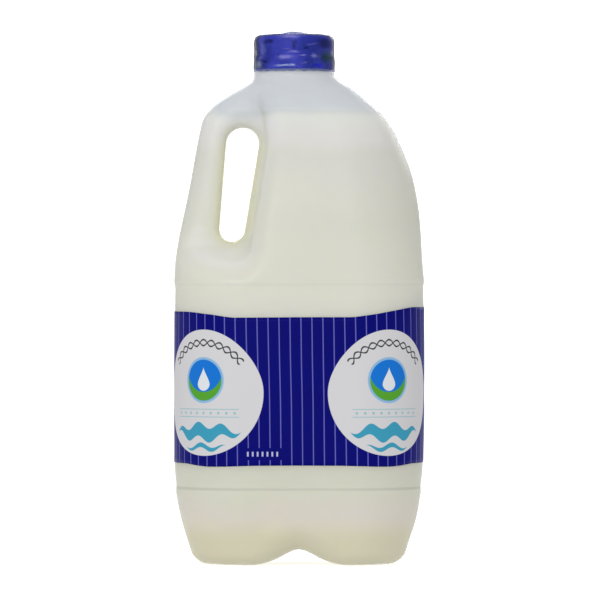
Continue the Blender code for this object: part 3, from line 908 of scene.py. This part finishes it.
def seal_film():
    """Thin clear shrink film: painted highlights, painted shade and other tones on its folds, a hem of
    painted light, paler on top, and denser edge on.
    """
    graph = Graph("seal_film")
    place = graph.place()
    crinkle = graph.noise(160, 4, place)
    graph.bump(crinkle, 0.6, 0.0012)
    height = graph.math("DIVIDE", graph.part(place, 2), MM)
    right = graph.less(graph.part(place, 0), NECK_X * MM)
    ahead = graph.times(graph.part(place, 1), -1)
    around = graph.times(graph.math("ARCTAN2", right, ahead), FILM_RADIUS)
    bunched = graph.ramp(graph.noise(110, 3, place), 0.40, 0.56)
    colour = graph.mix(bunched, rgb(24, 46, 62), rgb(50, 54, 128))
    colour = graph.mix(graph.ramp(height, FILM_TOP - 0.5, FILM_TOP + 0.5), colour, rgb(112, 124, 196))
    edge_on = graph.math("POWER", graph.node("ShaderNodeLayerWeight", output=1), 2.4)
    dense = graph.math("MULTIPLY_ADD", edge_on, 0.8, 0.1)
    # Painted highlights: pale level streaks along the folds, a little denser there.
    level = graph.noise(95, 3, graph.node("ShaderNodeMapping", Vector=place, Scale=(1, 1, 4)))
    highlight_streak = graph.ramp(level, 0.6, 0.7)
    colour = graph.mix(graph.times(highlight_streak, 0.6), colour, rgb(*FOLD_LIGHT_AND_TONES["pale"]))
    dense = graph.math("MULTIPLY_ADD", highlight_streak, 0.12, dense)
    twist = graph.math("MULTIPLY_ADD", graph.noise(260, 2, place), 5.0, -2.5)
    lift = graph.math("MULTIPLY_ADD", graph.noise(200, 2, place), 2.0, -1.0)
    wandering = graph.plus(around, twist)
    rising = graph.plus(height, lift)
    # Painted highlights, painted shade and other tones of the folds in the table.
    for across, up, half_width, half_height, shade in FOLDS:
        side = graph.math("DIVIDE", graph.less(wandering, across), half_width)
        rise = graph.math("DIVIDE", graph.less(rising, up), half_height)
        fold = graph.ramp(length(graph, side, rise), 1.5, 0.1)
        colour = graph.mix(fold, colour, rgb(*FOLD_LIGHT_AND_TONES[shade]))
        dense = graph.math("MAXIMUM", dense, graph.times(fold, FOLD_DENSITY))
    # Painted light: a pale blue, denser hem at the lower edge, over the shaded gap under the cap.
    hem_light = graph.ramp(height, *FILM_HEM_LIGHT)
    colour = graph.mix(hem_light, colour, rgb(128, 140, 200))
    dense = graph.math("MAXIMUM", dense, graph.times(hem_light, FOLD_DENSITY))
    return graph.finish(Base_Color=colour, Roughness=0.15, IOR=1.2, Specular_IOR_Level=0.5, Alpha=dense)


def sleeve_print(around):
    """The print: pale pinstripes on blue, white round fields, and plain ornaments inside them."""
    graph = Graph("sleeve_print")
    uv = graph.node("ShaderNodeUVMap", settings=[("uv_map", "UVMap")])
    along = graph.times(graph.part(uv, 0), around)
    height = graph.times(graph.part(uv, 1), UV_HEIGHT)
    blue = graph.mix(graph.noise(45, 3, graph.place()), rgb(1, 4, 112), rgb(5, 8, 124))
    colour = stripes(graph, along, around, height, blue)
    colour = ticks(graph, along, around, height, blue, colour)
    colour = seam(graph, along, around, colour)
    across = field_offset(graph, along, around)
    colour = round_field(graph, across, height, colour)
    colour = braid(graph, across, height, colour)
    colour = badge(graph, across, height, colour)
    colour = rules(graph, across, height, colour)
    colour = waves(graph, across, height, colour)
    graph.bump(graph.noise(320, 2, graph.place()), 0.12, 0.0004)
    return graph.finish(Base_Color=colour, Roughness=0.4, IOR=1.5, Specular_IOR_Level=0.06)


def stripes(graph, along, around, height, ground):
    """Thin stripes at an even pitch that closes at the seam, leaning and wavy where the film shrank."""
    count = round(around / STRIPE_PITCH)
    moved = graph.math("MULTIPLY_ADD", height, STRIPE_LEAN, along)
    moved = graph.less(moved, STRIPE_SHIFT + STRIPE_LEAN * SLEEVE_TOP_LEFT[0][1])
    moved = graph.math("MULTIPLY_ADD", graph.noise(16, 1, graph.place()), STRIPE_WAVE, moved)
    moved = graph.less(moved, STRIPE_WAVE / 2)
    phase = graph.times(moved, count / around)
    near = graph.math("ABSOLUTE", graph.less(graph.math("FRACT", phase), 0.5))
    outer, inner = (0.5 - edge / STRIPE_PITCH for edge in STRIPE_EDGE)
    line = graph.ramp(near, outer, inner)
    return graph.mix(graph.times(line, 0.7), ground, rgb(128, 126, 214))


def seam(graph, along, around, ground):
    """The glued overlap at the back: a plain darker strip with a fine pale edge."""
    from_middle = graph.less(along, around / 2 + (OVERLAP + OVERLAP_EDGE) / 2)
    strip = between(graph, from_middle, OVERLAP / 2, 0.15)
    colour = graph.mix(graph.times(strip, 0.75), ground, rgb(3, 5, 92))
    edge = between(graph, graph.less(from_middle, OVERLAP / 2), 0.16, 0.1)
    return graph.mix(graph.times(edge, 0.5), colour, rgb(150, 152, 214))


def ticks(graph, along, around, height, bare, ground):
    """A short row of pale ticks on a bare patch, low on the front."""
    from_front = graph.math("WRAP", along, around / 2, -around / 2)
    across = graph.less(from_front, TICKS_FROM_FRONT)
    up = graph.less(height, TICKS_HEIGHT)
    wide, high = TICKS_PATCH
    patch = graph.times(between(graph, across, wide, 0.2), between(graph, up, high, 0.2))
    colour = graph.mix(patch, ground, bare)
    tick = between(graph, graph.math("PINGPONG", across, TICK_PITCH / 2), TICK_HALF, 0.12)
    wide, high = TICKS_ROW
    row = graph.times(between(graph, across, wide, 0.1), between(graph, up, high, 0.15))
    return graph.mix(graph.times(tick, row), colour, rgb(196, 198, 232))


def field_offset(graph, along, around):
    """Distance across from the middle of the nearest round field."""
    half = graph.math("PINGPONG", graph.plus(along, FIELD_SHIFT), around / 2)
    nearest = graph.math("PINGPONG", half, around / 4)
    return graph.less(nearest, FIELD_FROM_MIDDLE)


def round_field(graph, across, height, ground):
    """A white field, a little narrower towards its top."""
    up = graph.less(height, FIELD_HEIGHT)
    narrow = graph.math("MULTIPLY_ADD", graph.ramp(up, 0.0, FIELD_RADIUS), -FIELD_NARROWER, 1.0)
    reach = length(graph, graph.math("DIVIDE", across, narrow), up)
    inside = graph.ramp(reach, FIELD_RADIUS + 0.15, FIELD_RADIUS - 0.15)
    return graph.mix(inside, ground, rgb(226, 225, 228))


def between(graph, value, half, soft):
    """1 where a value lies within half its width of zero, with a soft edge."""
    outer, inner = graph.plus(half, soft), graph.less(half, soft)
    return graph.ramp(graph.math("ABSOLUTE", value), outer, inner)


def length(graph, across, up):
    """Distance from the middle, by the ways across and up."""
    return graph.math("SQRT", graph.plus(graph.math("POWER", across, 2), graph.math("POWER", up, 2)))


def wave(graph, across, period, swing, phase):
    """How far a wavy line lies above its middle."""
    turn = graph.math("MULTIPLY_ADD", across, 2 * math.pi / period, phase)
    return graph.times(graph.math("SINE", turn), swing)


def braid(graph, across, height, ground):
    """Two dark wavy lines that cross, bent along the upper edge of the field."""
    up = graph.less(height, BRAID_HEIGHT)
    along = graph.times(graph.math("ARCTAN2", across, up), BRAID_RADIUS)
    off = graph.less(length(graph, across, up), BRAID_RADIUS)
    ends = between(graph, along, BRAID_REACH, 0.4)
    colour = ground
    for swing in (BRAID_SWING, -BRAID_SWING):
        strand = graph.less(off, wave(graph, along, BRAID_PERIOD, swing, math.pi / 2))
        line = graph.times(between(graph, strand, BRAID_STRAND, 0.15), ends)
        colour = graph.mix(line, colour, rgb(62, 68, 76))
    return colour


def badge(graph, across, height, ground):
    """A round blue badge with a pale rim, a green crescent and a white drop, inside the field."""
    up = graph.less(height, BADGE_HEIGHT)
    reach = length(graph, across, up)
    rim = graph.ramp(reach, BADGE_RIM + BADGE_EDGE, BADGE_RIM - BADGE_EDGE)
    colour = graph.mix(rim, ground, rgb(150, 196, 234))
    inside = graph.ramp(reach, BADGE_INSIDE + BADGE_EDGE, BADGE_INSIDE - BADGE_EDGE)
    colour = graph.mix(inside, colour, rgb(24, 124, 224))
    shade = length(graph, across, graph.less(up, CRESCENT_RISE))
    outside = graph.ramp(shade, CRESCENT_RADIUS - BADGE_EDGE, CRESCENT_RADIUS + BADGE_EDGE)
    crescent = graph.times(inside, outside)
    colour = graph.mix(crescent, colour, rgb(92, 172, 52))
    rise = graph.less(up, DROP_MIDDLE)
    taper = graph.less(1.0, graph.ramp(rise, *DROP_SPAN))
    width = graph.math("MULTIPLY_ADD", taper, DROP_WIDTH, -0.15)
    span = length(graph, across, graph.math("MINIMUM", rise, 0.0))
    drop = graph.ramp(graph.less(width, span), -DROP_EDGE, DROP_EDGE)
    return graph.mix(drop, colour, rgb(238, 243, 247))


def rules(graph, across, height, ground):
    """Two thin pale lines with a row of dots between them."""
    up = graph.less(height, RULE_HEIGHT)
    reach = between(graph, across, RULE_REACH, 0.3)
    off = graph.less(graph.math("ABSOLUTE", up), RULE_GAP)
    line = between(graph, off, RULE_LINE, 0.12)
    dots = graph.ramp(length(graph, graph.math("PINGPONG", across, DOT_PITCH / 2), up), *DOT_EDGE)
    both = graph.times(graph.math("MAXIMUM", line, dots), reach)
    return graph.mix(graph.times(both, 0.8), ground, rgb(140, 202, 210))


def waves(graph, across, height, ground):
    """A broad teal wave and a narrow one under it, both drawn out to points."""
    colour = ground
    for middle, half, reach, period, swing, phase in WAVES:
        level = graph.less(height, middle)
        off = graph.less(level, wave(graph, across, period, swing, phase))
        share = graph.math("POWER", graph.math("DIVIDE", across, reach), 2)
        room = graph.times(graph.less(1.0, share), half)
        colour = graph.mix(between(graph, off, room, 0.15), colour, rgb(66, 166, 198))
    return colour


def add_soft_light(name, place, size, power):
    """A rectangular soft light, given by its width and height, that faces the jug."""
    light = bpy.data.lights.new(name, "AREA")
    light.shape = "RECTANGLE"
    light.size, light.size_y = size
    light.energy = power
    lamp = bpy.data.objects.new(name, light)
    lamp.location = place
    lamp.rotation_euler = (Vector(LIGHT_AIM) - Vector(place)).to_track_quat("-Z", "Y").to_euler()
    bpy.context.scene.collection.objects.link(lamp)


def make_lights():
    """Soft studio light: even from all round, with a wide source in front, one behind and one overhead."""
    for name, (place, size, power) in SOFT_LIGHTS.items():
        add_soft_light(name, place, size, power)
    world = bpy.data.worlds.new("studio")
    world.use_nodes = True
    background = world.node_tree.nodes["Background"]
    background.inputs["Color"].default_value = (1, 1, 1, 1)
    background.inputs["Strength"].default_value = AMBIENT
    bpy.context.scene.world = world


def turned_stage(name, profile, material):
    """A surface turned round the jug from (radius, height) points, closed in the middle, facing in and up."""
    shape = bmesh.new()
    angles = [2 * math.pi * side / STAGE_SIDES for side in range(STAGE_SIDES)]
    rings = []
    for radius, height in profile:
        rings.append([shape.verts.new((radius * math.cos(a), radius * math.sin(a), height)) for a in angles])
    for inner, outer in zip(rings, rings[1:]):
        for side in range(STAGE_SIDES):
            after = (side + 1) % STAGE_SIDES
            shape.faces.new((inner[side], outer[side], outer[after], inner[after]))
    shape.faces.new(rings[0])
    mesh = bpy.data.meshes.new(name)
    shape.to_mesh(mesh)
    shape.free()
    mesh.shade_smooth()
    mesh.materials.append(material)
    stage = bpy.data.objects.new(name, mesh)
    bpy.context.scene.collection.objects.link(stage)
    return stage


def make_stage():
    """A white floor, and a white backdrop like a wide bowl that rises past the floor's edge."""
    white = (1, 1, 1, 1)
    paper = Graph("floor_white").finish(
        Base_Color=(0.85, 0.85, 0.85, 1), Roughness=0.9, Specular_IOR_Level=0.1, Emission_Color=white,
        Emission_Strength=FLOOR_GLOW
    )
    floor = turned_stage("floor", [(FLOOR_INNER, 0.0), (FLOOR_RADIUS, 0.0)], paper)
    floor.visible_diffuse = False
    lit = Graph("backdrop_white").finish(Base_Color=white, Emission_Color=white, Emission_Strength=1.0)
    bend = arc((FLOOR_RADIUS, BACKDROP_BEND), BACKDROP_BEND, -90, 0, 7)
    top = (FLOOR_RADIUS + BACKDROP_BEND, BACKDROP_HEIGHT)
    backdrop = turned_stage("backdrop", bend + [top], lit)
    backdrop.visible_diffuse = False
    backdrop.visible_glossy = False
    backdrop.visible_shadow = False


def make_camera():
    """A level camera in front of the jug, as in the photo, with plain colours in the picture."""
    camera = bpy.data.cameras.new("camera")
    camera.sensor_width = SENSOR
    camera.lens = SENSOR * CAMERA_DISTANCE / FIELD_WIDTH
    camera.clip_end = 20
    eye = bpy.data.objects.new("camera", camera)
    eye.location = (CAMERA_X, -CAMERA_DISTANCE, CAMERA_HEIGHT)
    eye.rotation_euler = (math.pi / 2, 0, 0)
    bpy.context.scene.collection.objects.link(eye)
    bpy.context.scene.camera = eye
    bpy.context.scene.view_settings.view_transform = "Standard"


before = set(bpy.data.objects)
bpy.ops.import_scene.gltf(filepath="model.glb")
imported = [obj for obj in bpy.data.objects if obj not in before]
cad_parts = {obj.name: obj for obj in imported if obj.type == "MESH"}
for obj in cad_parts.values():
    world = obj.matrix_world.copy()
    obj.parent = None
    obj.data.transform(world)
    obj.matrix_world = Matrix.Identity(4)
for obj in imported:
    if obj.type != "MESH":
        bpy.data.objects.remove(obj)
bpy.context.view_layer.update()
make_camera()
make_lights()
make_stage()
points, quads = jug_skin()
make_shell(points, quads)
make_milk(points, quads)
make_sleeve()
make_cap()
make_film()
